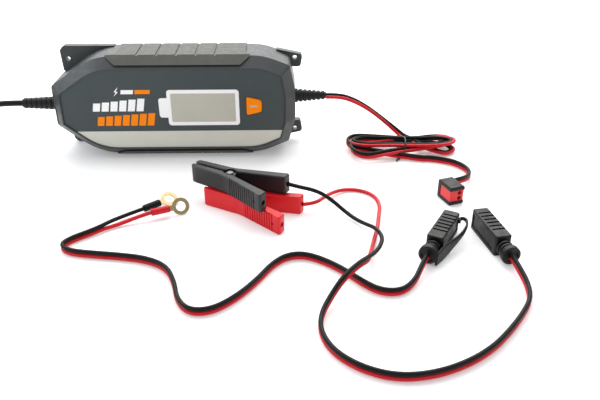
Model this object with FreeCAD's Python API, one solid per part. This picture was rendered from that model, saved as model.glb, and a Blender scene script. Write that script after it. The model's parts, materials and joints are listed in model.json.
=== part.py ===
import FreeCAD, Part
import math
import os

# Twelve-volt battery charger, standing on its lower grip: a sealed plastic housing with a display
# and a mode button, its mains lead and output lead, and two accessory leads, one with a pair of
# spring clamps and one with a pair of ring lugs. Millimetres. +X runs along the housing, +Y points
# from the front panel to the mounting face, +Z is up. The origin is on the floor, under the housing.

V = FreeCAD.Vector
os.makedirs("parts", exist_ok=True)

# Housing
FRONT_Y, REAR_Y = -21.0, 28.5       # front rim and mounting face
SHOULDER_Y = -10.0                  # where the sloping bezel meets the side walls
SEAM_Y = 16.5                       # joint between the front and rear shells
HEIGHT = 100.0                      # over both grips
GRIP_PROUD = 1.2                    # how far a grip stands off the side wall
BEZEL_WIDTH = 8.8                   # the bezel's width, seen from the front
RIM_WIDTH = 1.2
SLOT_Y, SLOT_Z = (-13.4, -11.2), (33.0, 62.0)   # slot down the left bezel
WALL = 2.5
PANEL_Y = FRONT_Y + 1.1             # face of the panel, just below the rim
PANEL_THICK = 1.0
BOTTOM_Z, TOP_Z = GRIP_PROUD, HEIGHT - GRIP_PROUD
# Corners of the side walls, from the lower left anticlockwise, and the radius at each
LEFT_X, RIGHT_X = -115.5, 114.0     # the end walls
OUTLINE = [(-77.0, BOTTOM_Z), (80.0, BOTTOM_Z), (107.5, 13.0), (RIGHT_X, 36.0), (RIGHT_X, 65.0),
           (109.0, 89.0), (84.0, TOP_Z), (-73.0, TOP_Z), (LEFT_X, 70.5), (LEFT_X, 31.5)]
OUTLINE_RADII = [60.0, 60.0, 5.0, 30.0, 30.0, 5.0, 60.0, 60.0, 5.0, 5.0]

# Mounting ears
EAR_THICK = 7.5
EAR_HOLE_R = 2.25
EAR_HOLES_X = (-105.0, 114.0)
EAR_HOLES_Z = (13.0, 87.0)
# Upper left and upper right ear, corners and their radii; the lower ones mirror them
EARS = (([(-111.0, 75.0), (-80.0, 75.0), (-58.0, 99.8), (-108.5, 99.8), (-112.0, 95.5)],
         [1.5, 1.0, 1.0, 5.0, 3.5]),
        ([(98.0, 78.0), (119.5, 78.0), (121.5, 90.0), (96.0, 95.5)], [1.0, 3.0, 3.0, 1.0]))

# Display and mode button, on the panel
DISPLAY_X = (-6.5, 61.0)
DISPLAY_Z = (34.0, 69.4)
DISPLAY_BORDER = 3.6
BUTTON_X = (67.8, 82.2)
BUTTON_Z = 53.0
BUTTON_HALF = (9.2, 5.6)            # half height at its left and right ends
BUTTON_TRAVEL = 0.6
BUTTON_GAP = 0.35
STRIPE_TOP_Z = 28.2

# Grips, on the upper and lower walls and a little way down the bezel
GRIP_X = (-53.0, 68.0)
FLAP_LOW_X, FLAP_HIGH_X = (-51.5, 63.5), (-61.5, 72.0)
FLAP_LOW_Z = 93.0
GROOVES, GROOVE_X, GROOVE_PITCH = 5, -32.3, 18.1
GROOVE_HALF, GROOVE_DEEP = 1.1, 0.8

# Screws of the case and the main board, all alike
SCREW_R = 1.4
SCREW_HEAD_R = 2.7
SCREW_HEAD = 2.0
SCREW_LONG = 9.0
SCREW_DEEP = 8.0
CASE_SCREWS = [(-100.0, 50.0), (-40.0, 6.5), (-40.0, 93.5), (60.0, 6.5), (60.0, 93.5), (104.0, 42.0)]
BOARD_Y = (14.0, 15.6)
BOARD_X, BOARD_Z = (-84.0, 98.0), (14.0, 86.0)
BOARD_SCREWS = [(-70.0, 24.0), (-70.0, 76.0), (90.0, 24.0), (90.0, 76.0)]

# Strain reliefs
MAINS_EXIT = V(LEFT_X + 0.4, 0.0, 50.0)
OUTPUT_EXIT = V(RIGHT_X - 0.4, 0.0, 56.0)
MAINS_RELIEF, OUTPUT_RELIEF = 33.5, 30.0             # lengths
MAINS_RELIEF_R, OUTPUT_RELIEF_R = (6.5, 4.9), (6.8, 4.0)
RELIEF_RINGS = 7
RELIEF_SEAT_R = 5.0

# Leads
MAINS_D = 5.6
TWIN_D = 6.6                        # width of a twin lead, over both cores
CORE_D = 3.3

# Spring clamps, about their pivots: nose at -u, handles at +u
CLAMP_TALL = 16.0
NOSE_U, HANDLE_U = -36.5, 45.0
BACK_V, HANDLE_V = 8.4, 23.2        # from the middle plane to an arm's back, at the pivot and handle
GRIP_RIBS, GRIP_RIB_U, GRIP_RIB_PITCH = 12, 7.0, 2.7
HANDLE_INNER_V = 14.2
CORD_HOLE_R, CORD_HOLE_DEEP = 2.2, 9.0
NOSE_BACK_V, JAW_GAP, JAW_THICK, JAW_TEETH, TOOTH_PITCH = 6.0, 0.15, 1.2, 7, 2.0
PIN_R = 1.5
LUG_R = 5.0
BLACK_PIVOT, BLACK_YAW, BLACK_Z = (58.0, -117.0), -31.5, 16.4
RED_PIVOT, RED_YAW, RED_Z = (69.5, -126.0), -27.0, 0.0

# Lead connectors, about the joint of box and neck: mouth at +u, gland at -u
BOX_LONG, BOX_WIDE, BOX_TALL = 44.0, 13.0, 17.0
NECK_LONG = 14.0
RING_BOX_AT, RING_BOX_YAW = (214.9, -197.4), 60.7
CLAMP_BOX_AT, CLAMP_BOX_YAW = (267.0, -198.3), 99.8
TOP_RIBS, TOP_RIB_U, TOP_RIB_PITCH, TOP_RIB_WIDE, TOP_RIB_DEEP = 6, 10.0, 5.0, 2.0, 0.9
PIN_PITCH, CONTACT_PIN_R = 6.0, 1.5
# The stopper's strap beside the box: distance along it and from its side
STRAP_LINE = [(-13.0, 3.0), (-4.0, 2.0), (8.0, 1.0), (24.0, 4.0), (36.2, 8.2)]
STRAP_THICK, STRAP_Z = 1.6, (0.6, 5.4)

# The mains lead: down to the floor at the left, into a tied coil that ends in its plug
MAINS_ROUTE = [(-148.6, 0, 50), (-165, 0, 50), (-183, 3, 47), (-200, 9, 38), (-213, 17, 25),
               (-221, 28, 13.5), (-227, 41, 7.5), (-233.5, 52, 6), (-238.6, 58.9, 6)]
COIL_AT, COIL_MIDDLE_R, COIL_HALF, COIL_TALL = (-264.0, 91.0), 32.0, 8.6, 17.4
PLUG_AT, PLUG_YAW, PLUG_CORD_Z = (-270.9, 44.5), -45.0, 9.0

# The output lead: down to the hank, and on from it to its connector
OUTPUT_ROUTE = [(143.8, 0, 56), (157, 0.5, 56), (171, 3, 50.5), (184, 8, 41.5), (196, 14, 31),
                (207, 18.5, 20.5), (217, 18.5, 12), (223.5, 12.5, 7.6), (225, 4.2, 7.6)]
HANK = [(163, -30), (175, -44), (200, -38), (221, -30), (238, -31), (262, -28), (270, -16),
        (262, 6), (240, 7), (224, 2), (200, 8), (172, 10), (162, -6)]
HANK_TALL = 15.0
HANK_TIE_X, HANK_TIE_Y = (217.0, 220.0), (-32.0, 4.0)
TAIL_ROUTE = [(233, -34.2, 3.5), (243, -34.4, 3.7), (254, -38, 3.5), (264.5, -44.5, 3.8),
              (272, -54, 3.5), (274, -66, 3.9), (270, -77.5, 5), (262, -86.5, 7.2), (252.5, -93, 8.5),
              (246.6, -98.4, 8.5)]
OUTLET_AT, OUTLET_YAW, OUTLET_LONG, OUTLET_WIDE = (243.0, -101.0), -70.0, 20.0, 14.0

# The accessory leads, each from its connector's gland to where its two cores part
RING_ROUTE = [(207.6, -210.2, 8.5), (201, -222.5, 6.4), (195, -235, 3.9), (184.5, -246.5, 3.4),
              (171, -247, 3.6), (160, -238, 3.4), (148, -223, 3.6), (133.5, -208.5, 3.4),
              (118, -199.5, 3.6), (104.5, -201, 3.4), (93.5, -213, 3.6), (84, -231, 3.4),
              (71, -250.5, 3.6), (55, -265, 3.4), (39.5, -266, 3.6), (30, -253, 3.4),
              (26, -234.5, 3.6), (17.5, -214, 3.4), (1, -203.5, 3.6), (-20, -198.5, 3.4),
              (-43, -195.5, 3.6), (-60.5, -191.5, 3.4), (-68, -183.5, 3.6), (-62.5, -174, 3.4),
              (-51.5, -165.5, 3.6), (-43, -158.5, 4.1)]
CLAMP_ROUTE = [(269.5, -212.6, 8.5), (271.5, -226, 6.2), (273, -240.5, 3.9), (270, -257, 3.4),
               (259, -274, 3.6), (246, -290, 3.4), (231, -306, 3.6), (212, -319, 3.4),
               (190, -328, 3.6), (168, -329.5, 3.4), (148, -321.5, 3.6), (133, -307, 3.4),
               (126, -290, 3.6), (126.5, -272.5, 3.4), (133.5, -256.5, 6), (144, -243, 13.8),
               (156, -227.5, 13.8), (163, -217, 10.5)]

# The single cores, from where each twin lead parts to its clamp handle or lug sleeve
CORE_ROUTES = {
    "clamp_lead_black_core": [
        (163.4, -216.5, 12.2), (169.5, -207, 9.6), (175.5, -195.5, 8.6), (178.5, -182.5, 8.5),
        (174.5, -169, 8), (167.5, -157, 4.6), (160.5, -146, 2.9), (152.5, -136.5, 5),
        (143.5, -130.5, 11), (134, -128.8, 17.5), (125, -130.6, 22.3), (116, -130.6, 24.4),
        (107, -125.2, 24.4)],
    "clamp_lead_red_core": [
        (163.4, -216.5, 8.8), (166, -206, 6), (168.8, -193.5, 2.9), (172.5, -178.5, 1.8),
        (177.5, -160, 1.7), (181, -140, 1.8), (184.5, -120.5, 1.7), (181, -103.5, 1.8),
        (168.5, -93.5, 1.7), (153.5, -94, 2.2), (142.5, -104.5, 4), (135.5, -118.5, 7),
        (128, -129, 8.2), (118.8, -130.3, 8)],
    "ring_lead_black_core": [
        (-42.6, -158.1, 5.8), (-37.5, -151.2, 5.6), (-33.5, -142.5, 3.4), (-24.5, -135, 3.6),
        (-14.75, -129.1, 4.6)],
    "ring_lead_red_core": [
        (-42.6, -158.1, 2.4), (-35.5, -153.2, 2.3), (-27, -148.2, 2.9), (-17, -143.4, 5),
        (-6.65, -139.4, 6.7)],
}

# Ring lugs: the ring's middle, its heading, and how far it has rolled over
LUGS = ((V(4.5, -112.5, 4.6), 41.0, 30.0), (V(16.5, -129.0, 6.7), 24.0, 60.0))
LUG_OUTER_R, LUG_HOLE_R, LUG_THICK = 7.25, 4.2, 1.0
SLEEVE_U, SLEEVE_R = (-25.0, -9.5), 3.0
BARREL_R, NECK_HALF = 1.9, 2.4

# Mains coil's tie, and the mains plug in its own frame: cord at u = 0, pins at +u
TIE_WIDE, TIE_THICK = 3.0, 1.2
PLUG_OUTLINE = [(18, -8), (34, -18), (46, -16), (50, -10), (50, 10), (46, 16), (34, 18), (18, 8)]
PLUG_TALL, PLUG_RINGS, PLUG_RING_PITCH = 24.0, 5, 4.0
PLUG_PINS_U, PIN_THICK, PIN_WIDE, PIN_SPREAD, PIN_LEAN = (50, 67), 1.6, 6.3, 6.9, 30.0

# Output connector: its end that takes the contacts, in its own frame
OUTLET_TALL, OUTLET_WRAP, OUTLET_CORE_Z = 17.0, 4.0, (3.6, 13.4)
OUTLET_CONTACTS_Z, OUTLET_CONTACT_V, CONTACT_R, CONTACT_HOLE_R = (6.1, 10.9), 2.6, 1.9, 1.4

# Inside, on the main board: spans are along X and Z, lengths stand forward of the board
CORE_X, CORE_Z, CORE_LONG = (-42.0, -10.0), (34.0, 66.0), 20.0     # transformer's E core
CORE_LEG_X, CORE_RIM = (-30.0, -22.0), 5.0
WINDING_LONG, WINDING_GAP = 16.5, 0.5
CAPACITORS = ((-66, 50, 11, 22), (14, 38, 6, 20), (14, 62, 6, 20), (30, 38, 6, 20))   # x, z, r, length
SINK_X, SINK_Z, SINK_LONG = (44.0, 84.0), (30.0, 33.0), 18.0
SINK_FINS, FIN_X, FIN_PITCH, FIN_THICK, FIN_TOP_Z = 6, 45.0, 7.0, 1.6, 44.0
TRANSISTORS_X, TRANSISTOR_WIDE, TRANSISTOR_Z = (46.0, 59.0, 72.0), 10.0, (25.4, 30.0)
CHOKE_AT, CHOKE_R, CHOKE_WIRE_R = (62.0, 66.0), 9.0, 4.0
FUSE_AT, FUSE_R, FUSE_LONG = (-80.5, 30.0), 2.6, 20.0
RECTIFIER_X, RECTIFIER_Z = (-52.0, -47.0), (40.0, 60.0)
# Display board, behind the panel
DISPLAY_BOARD_X, DISPLAY_BOARD_Z = (-30.0, 92.0), (22.0, 80.0)
DISPLAY_BOARD_Y = (PANEL_Y + 9.0, PANEL_Y + 10.6)
LCD_BACK_Y = PANEL_Y + 6.5
LCD_POSTS_X, LCD_POSTS_Z, POST_HALF = (5.0, 50.0), (44.0, 66.0), 3.0
STEM_R, PLUNGER_R, SWITCH_HALF, SWITCH_LONG = 2.2, 1.7, 3.0, 2.6


def save(name, *solids):
    shape = solids[0] if len(solids) == 1 else Part.makeCompound(list(solids))
    shape.exportStep("parts/" + name + ".step")


def placed(shape, at, yaw=0.0, z=0.0):
    """The shape turned about +Z and moved to a point of the floor plan, z above it."""
    out = shape.copy()
    out.rotate(V(0, 0, 0), V(0, 0, 1), yaw)
    out.translate(V(at[0], at[1], z))
    return out


def heading(yaw):
    return V(math.cos(math.radians(yaw)), math.sin(math.radians(yaw)), 0)


def box(x, y, z):
    """A box between two values on each axis."""
    return Part.makeBox(x[1] - x[0], y[1] - y[0], z[1] - z[0], V(x[0], y[0], z[0]))


def cylinder(r, start, axis, length):
    return Part.makeCylinder(r, length, start, axis)


def inset(points, by):
    """A closed polygon, listed anticlockwise, moved inwards by a distance on every side."""
    out = []
    for i, p in enumerate(points):
        before, after = points[i - 1], points[(i + 1) % len(points)]
        sides = []
        for a, b in ((before, p), (p, after)):
            length = math.dist(a, b)
            normal = (-(b[1] - a[1]) / length, (b[0] - a[0]) / length)
            sides.append((normal, normal[0] * p[0] + normal[1] * p[1] + by))
        (n1, d1), (n2, d2) = sides
        det = n1[0] * n2[1] - n1[1] * n2[0]
        out.append(((d1 * n2[1] - d2 * n1[1]) / det, (n1[0] * d2 - n2[0] * d1) / det))
    return out


def rounded_wire(points, radii, place):
    """A closed wire through a polygon with rounded corners. place turns two numbers into a point."""
    corners = []
    for i, p in enumerate(points):
        a, b = points[i - 1], points[(i + 1) % len(points)]
        to_a = V(a[0] - p[0], a[1] - p[1], 0).normalize()
        to_b = V(b[0] - p[0], b[1] - p[1], 0).normalize()
        half = to_a.getAngle(to_b) / 2
        r = radii[i] if isinstance(radii, list) else radii
        reach = r / math.tan(half)
        middle = (to_a + to_b).normalize() * (r / math.sin(half) - r)
        at = V(p[0], p[1], 0)
        corners.append([at + to_a * reach, at + middle, at + to_b * reach])
    edges = []
    for i, (start, middle, end) in enumerate(corners):
        start, middle, end = (place(q.x, q.y) for q in (start, middle, end))
        edges.append(Part.Arc(start, middle, end).toShape())
        following = corners[(i + 1) % len(corners)][0]
        following = place(following.x, following.y)
        if end.distanceToPoint(following) > 1e-3:
            edges.append(Part.LineSegment(end, following).toShape())
    return Part.Wire(edges)


def upright(points, radii, y0, y1):
    """A prism along Y over a rounded outline in X and Z."""
    wire = rounded_wire(points, radii, lambda a, b: V(a, y0, b))
    return Part.Face(wire).extrude(V(0, y1 - y0, 0))


def flat(points, radii, z0, z1):
    """A prism along Z over a rounded outline in X and Y."""
    wire = rounded_wire(points, radii, lambda a, b: V(a, b, z0))
    return Part.Face(wire).extrude(V(0, 0, z1 - z0))


def housing_wire(by, y):
    radii = [max(r - by, 1.5) for r in OUTLINE_RADII]
    return rounded_wire(inset(OUTLINE, by), radii, lambda a, b: V(a, y, b))


def housing_prism(by, y0, y1):
    return Part.Face(housing_wire(by, y0)).extrude(V(0, y1 - y0, 0))


def housing_front(by, front_y):
    """The housing's outer form in front of the seam: side walls and a sloping bezel."""
    walls = housing_prism(by, SHOULDER_Y, SEAM_Y)
    slope = Part.makeLoft([housing_wire(by, SHOULDER_Y),
                           housing_wire(by + BEZEL_WIDTH, front_y)], True, True)
    return walls.fuse(slope).removeSplitter()


def softened(shape, edges, r):
    """The shape with those edges rounded."""
    return shape.makeFillet(r, edges)


def edges_at(shape, test):
    """Edges whose ends and middle all pass a test of their position."""
    found = []
    for e in shape.Edges:
        ends = [e.valueAt(t) for t in (e.FirstParameter, (e.FirstParameter + e.LastParameter) / 2,
                                       e.LastParameter)]
        if all(test(p) for p in ends):
            found.append(e)
    return found


def battery_outline(border):
    """The display frame's outline, a battery lying on its side with its terminal at the left."""
    (x0, x1), (z0, z1) = DISPLAY_X, DISPLAY_Z
    nub_x, nub_z = x0 - 8.0, (z0 + 8.0, z1 - 8.0)
    points = [(x0, z0), (x1, z0), (x1, z1), (x0, z1), (x0, nub_z[1]), (nub_x, nub_z[1]),
              (nub_x, nub_z[0]), (x0, nub_z[0])]
    radii = [3.0, 3.0, 3.0, 3.0, 0.6, 2.6, 2.6, 0.6]
    return inset(points, border), [max(r - border, 0.4) for r in radii]


def button_outline(grow):
    (x0, x1), (left, right) = BUTTON_X, BUTTON_HALF
    points = [(x0, BUTTON_Z - left), (x1, BUTTON_Z - right), (x1, BUTTON_Z + right),
              (x0, BUTTON_Z + left)]
    return inset(points, -grow), [1.6, 3.0, 3.0, 1.6]


def make_housing():
    """Front shell, rear shell with its four mounting ears, and the seal between them."""
    front = housing_front(0.0, FRONT_Y)
    hollow = housing_front(WALL, FRONT_Y + WALL)
    front = front.cut(hollow)
    front = front.cut(housing_prism(BEZEL_WIDTH + RIM_WIDTH, FRONT_Y - 1, PANEL_Y + PANEL_THICK))
    window = [(DISPLAY_X[0] + 2.0, DISPLAY_Z[0] + 2.0), (DISPLAY_X[1] - 2.0, DISPLAY_Z[0] + 2.0),
              (DISPLAY_X[1] - 2.0, DISPLAY_Z[1] - 2.0), (DISPLAY_X[0] + 2.0, DISPLAY_Z[1] - 2.0)]
    front = front.cut(upright(window, 1.0, FRONT_Y - 1, FRONT_Y + 6))
    front = front.cut(upright(*button_outline(BUTTON_GAP), FRONT_Y - 1, FRONT_Y + 6))
    # A shallow slot down the left bezel
    front = front.cut(box((LEFT_X - 1, LEFT_X + 3.0), SLOT_Y, SLOT_Z))
    # Seats for the strain reliefs
    front = front.cut(cylinder(RELIEF_SEAT_R, MAINS_EXIT - V(3, 0, 0), V(1, 0, 0), 8.0))
    front = front.cut(cylinder(RELIEF_SEAT_R, OUTPUT_EXIT - V(5, 0, 0), V(1, 0, 0), 8.0))
    save("front_shell", front)

    rear = housing_prism(0.0, SEAM_Y, REAR_Y).cut(housing_prism(WALL, SEAM_Y, REAR_Y - WALL))
    ear_y = REAR_Y - EAR_THICK
    for points, radii in EARS:
        mirrored = [(x, HEIGHT - z) for x, z in reversed(points)]
        solid = upright(points, radii, ear_y, REAR_Y)
        rear = rear.fuse(solid).fuse(upright(mirrored, list(reversed(radii)), ear_y, REAR_Y))
    rear = rear.cut(housing_prism(WALL, SEAM_Y, REAR_Y - WALL))
    for x in EAR_HOLES_X:
        for z in EAR_HOLES_Z:
            rear = rear.cut(cylinder(EAR_HOLE_R, V(x, ear_y - 1, z), V(0, 1, 0), EAR_THICK + 2))
    # Bosses that carry the main board, and the sleeves of the case screws
    for x, z in BOARD_SCREWS:
        rear = rear.fuse(cylinder(3.5, V(x, BOARD_Y[1], z), V(0, 1, 0), REAR_Y - WALL - BOARD_Y[1]))
        rear = rear.cut(cylinder(SCREW_R, V(x, BOARD_Y[1], z), V(0, 1, 0), SCREW_DEEP))
    for x, z in CASE_SCREWS:
        rear = rear.cut(cylinder(SCREW_R, V(x, SEAM_Y - 1, z), V(0, 1, 0), 20))
        rear = rear.cut(cylinder(SCREW_HEAD_R, V(x, REAR_Y - SCREW_HEAD, z), V(0, 1, 0), 20))
    save("rear_shell", rear.removeSplitter())

    seal_y = (SEAM_Y - 1.2, SEAM_Y)
    seal = housing_prism(WALL, *seal_y).cut(housing_prism(WALL + 1.0, *seal_y))
    save("shell_seal", seal)


def make_grips():
    """Ribbed grips over the upper and lower walls, each with a flap on the bezel; the lower is the foot."""
    outside = housing_front(-GRIP_PROUD, FRONT_Y - GRIP_PROUD)
    outside = outside.fuse(housing_prism(-GRIP_PROUD, SEAM_Y, REAR_Y))
    inside = housing_front(0.0, FRONT_Y).fuse(housing_prism(0.0, SEAM_Y, REAR_Y))
    shell = outside.cut(inside)
    (low_x0, low_x1), (high_x0, high_x1) = FLAP_LOW_X, FLAP_HIGH_X
    wall = box(GRIP_X, (SHOULDER_Y, REAR_Y - 1.0), (HEIGHT - 3, HEIGHT + 1))
    flap_outline = [(low_x0, FLAP_LOW_Z), (low_x1, FLAP_LOW_Z), (high_x1, TOP_Z), (high_x1, HEIGHT + 5),
                    (high_x0, HEIGHT + 5), (high_x0, TOP_Z)]
    flap = upright(flap_outline, 0.5, FRONT_Y - 5, SHOULDER_Y + 2.5)
    cutter = wall.fuse(flap)
    for k in range(GROOVES):
        x = GROOVE_X + GROOVE_PITCH * k
        cutter = cutter.cut(box((x - GROOVE_HALF, x + GROOVE_HALF), (SHOULDER_Y - 2.0, REAR_Y),
                                (HEIGHT - GROOVE_DEEP, HEIGHT + 5)))
    save("upper_grip", shell.common(cutter).removeSplitter())
    below = cutter.mirror(V(0, 0, HEIGHT / 2), V(0, 0, 1))
    save("lower_grip", shell.common(below).removeSplitter())


def make_front():
    """The panel with its silver stripe, the display and the mode button with its switch."""
    plate = housing_prism(BEZEL_WIDTH + RIM_WIDTH + 0.15, PANEL_Y, PANEL_Y + PANEL_THICK)
    frame_points, frame_radii = battery_outline(0.0)
    opening, opening_radii = battery_outline(DISPLAY_BORDER)
    (x0, x1), (z0, z1) = DISPLAY_X, DISPLAY_Z
    edge = DISPLAY_BORDER
    glass = [(x0 + edge, z0 + edge), (x1 - edge, z0 + edge), (x1 - edge, z1 - edge),
             (x0 + edge, z1 - edge)]
    plate = plate.cut(upright(frame_points, frame_radii, PANEL_Y - 1, PANEL_Y + 2))
    plate = plate.cut(upright(*button_outline(BUTTON_GAP), PANEL_Y - 1, PANEL_Y + 2))
    lower_half = box((-200, 200), (PANEL_Y - 1, PANEL_Y + 0.4), (-10, STRIPE_TOP_Z))
    stripe = plate.common(lower_half)
    save("front_panel", plate.cut(lower_half))
    save("panel_stripe", stripe)

    bezel = upright(frame_points, frame_radii, PANEL_Y - 0.5, PANEL_Y + PANEL_THICK)
    save("display_frame", bezel.cut(upright(glass, 1.0, PANEL_Y - 1, PANEL_Y + 2)))
    inner = inset(glass, 0.05)
    save("display_window", upright(inner, 1.0, PANEL_Y - 0.1, PANEL_Y + PANEL_THICK))
    save("lcd_module", upright(inset(inner, 1.0), 0.8, PANEL_Y + 1.3, LCD_BACK_Y))

    board_front = DISPLAY_BOARD_Y[0]
    save("display_board", box(DISPLAY_BOARD_X, DISPLAY_BOARD_Y, DISPLAY_BOARD_Z))
    posts = [box((x - POST_HALF, x + POST_HALF), (LCD_BACK_Y, board_front),
                 (z - POST_HALF, z + POST_HALF)) for x in LCD_POSTS_X for z in LCD_POSTS_Z]
    save("lcd_supports", *posts)

    cap = upright(*button_outline(0.0), PANEL_Y - 0.9, PANEL_Y + 2.0)
    cap = softened(cap, edges_at(cap, lambda p: p.y < PANEL_Y - 0.85), 0.5)
    centre_x = sum(BUTTON_X) / 2
    plunger_y = PANEL_Y + 4.4
    stem = cylinder(STEM_R, V(centre_x, PANEL_Y + 2.0, BUTTON_Z), V(0, 1, 0), 2.4)
    save("mode_button", cap.fuse(stem))
    switch_y = board_front - SWITCH_LONG
    body = box((centre_x - SWITCH_HALF, centre_x + SWITCH_HALF), (switch_y, board_front),
               (BUTTON_Z - SWITCH_HALF, BUTTON_Z + SWITCH_HALF))
    bore = cylinder(PLUNGER_R + 0.05, V(centre_x, switch_y - 1, BUTTON_Z), V(0, 1, 0), 3.2)
    save("switch_body", body.cut(bore))
    save("switch_plunger", cylinder(PLUNGER_R, V(centre_x, plunger_y, BUTTON_Z), V(0, 1, 0),
                                    switch_y + 1.2 - plunger_y))


def make_electronics():
    """What the sealed housing holds, on a main board screwed to the rear shell."""
    board = box(BOARD_X, BOARD_Y, BOARD_Z)
    for x, z in BOARD_SCREWS:
        board = board.cut(cylinder(1.7, V(x, BOARD_Y[0] - 1, z), V(0, 1, 0), 4))
    face = BOARD_Y[0]
    save("main_board", board)
    # Transformer: an E core standing round its winding
    core_y = (face - CORE_LONG, face)
    gap_x = (CORE_X[0] + CORE_RIM, CORE_X[1] - CORE_RIM)
    gap_z = (CORE_Z[0] + CORE_RIM, CORE_Z[1] - CORE_RIM)
    leg = box(CORE_LEG_X, core_y, CORE_Z)
    core = box(CORE_X, core_y, CORE_Z).cut(box(gap_x, core_y, gap_z)).fuse(leg)
    core = core.cut(box(CORE_X, (face - CORE_LONG, face - 17), gap_z))
    save("transformer_core", core)
    winding = box((gap_x[0] + WINDING_GAP, gap_x[1] - WINDING_GAP), (face - WINDING_LONG, face - 3),
                  (gap_z[0] + WINDING_GAP, gap_z[1] - WINDING_GAP))
    save("transformer_winding", winding.cut(leg))
    save("capacitors", *[cylinder(r, V(x, face - length, z), V(0, 1, 0), length)
                         for x, z, r, length in CAPACITORS])
    sink_y = (face - SINK_LONG, face)
    sink = box(SINK_X, sink_y, SINK_Z)
    for k in range(SINK_FINS):
        x = FIN_X + FIN_PITCH * k
        sink = sink.fuse(box((x, x + FIN_THICK), sink_y, (SINK_Z[1], FIN_TOP_Z)))
    save("heat_sink", sink)
    save("power_transistors", *[box((x, x + TRANSISTOR_WIDE), (face - SINK_LONG + 1, face - 1.5),
                                    TRANSISTOR_Z) for x in TRANSISTORS_X])
    choke_at = V(CHOKE_AT[0], face - CHOKE_WIRE_R - 0.2, CHOKE_AT[1])
    save("choke", Part.makeTorus(CHOKE_R, CHOKE_WIRE_R, choke_at, V(0, 1, 0)))
    fuse_at = V(FUSE_AT[0], face - FUSE_R - 0.4, FUSE_AT[1])
    save("mains_fuse", cylinder(FUSE_R, fuse_at, V(0, 0, 1), FUSE_LONG))
    save("rectifier", box(RECTIFIER_X, (face - SINK_LONG, face), RECTIFIER_Z))
    bolts = [(x, z, REAR_Y - SCREW_HEAD, -1) for x, z in CASE_SCREWS]
    bolts += [(x, z, BOARD_Y[0], 1) for x, z in BOARD_SCREWS]
    screws = []
    for x, z, y, way in bolts:
        shank = cylinder(SCREW_R, V(x, y, z), V(0, way, 0), SCREW_LONG)
        head = cylinder(SCREW_HEAD_R, V(x, y, z), V(0, -way, 0), SCREW_HEAD - 0.2)
        screws.append(shank.fuse(head))
    save("housing_screws", *screws)


def ribbed_cone(start, way, length, r0, r1):
    """A tapered strain relief with rings round it, growing from start along +X or -X."""
    pitch = length / RELIEF_RINGS
    out = cylinder(r0 - 1.6, start - V(way * 4, 0, 0), V(way, 0, 0), 4)
    for k in range(RELIEF_RINGS):
        r = r0 + (r1 - r0) * (k + 0.5) / RELIEF_RINGS
        at = start + V(way * pitch * k, 0, 0)
        out = out.fuse(cylinder(r, at, V(way, 0, 0), pitch * 0.66))
        out = out.fuse(cylinder(r - 1.1, at, V(way, 0, 0), pitch))
    return out.removeSplitter()


def make_reliefs():
    save("mains_strain_relief", ribbed_cone(MAINS_EXIT, -1, MAINS_RELIEF, *MAINS_RELIEF_R))
    save("output_strain_relief", ribbed_cone(OUTPUT_EXIT, 1, OUTPUT_RELIEF, *OUTPUT_RELIEF_R))


def cord_path(name, points):
    """Straight runs joined by tangent arcs, each as large as its two runs allow."""
    points = [V(*p) for p in points]
    edges, at, radii = [], points[0], []
    for a, b, c in zip(points, points[1:], points[2:]):
        back, on = a - b, c - b
        half = back.getAngle(on) / 2
        reach = 0.45 * min(back.Length, on.Length)
        radius = reach * math.tan(half)
        back.normalize()
        on.normalize()
        start, end = b + back * reach, b + on * reach
        middle = b + (back + on).normalize() * (radius / math.sin(half) - radius)
        edges.append(Part.LineSegment(at, start).toShape())
        edges.append(Part.Arc(start, middle, end).toShape())
        at = end
        radii.append(radius)
    edges.append(Part.LineSegment(at, points[-1]).toShape())
    wire = Part.Wire(edges)
    print("%s: length %.0f, radii %s" % (name, wire.Length,
                                         " ".join("%.0f" % r for r in radii)))
    return wire


def make_cord(name, points, diameter):
    """A plain round tube along a cord's route."""
    wire = cord_path(name, points)
    start = V(*points[0])
    ring = Part.Wire(Part.Circle(start, V(*points[1]) - start, diameter / 2).toShape())
    tube = wire.makePipeShell([ring], True, True)
    section = math.pi * diameter ** 2 / 4
    print("  volume over section times length %.4f" % (tube.Volume / (section * wire.Length)))
    save(name, tube)


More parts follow.
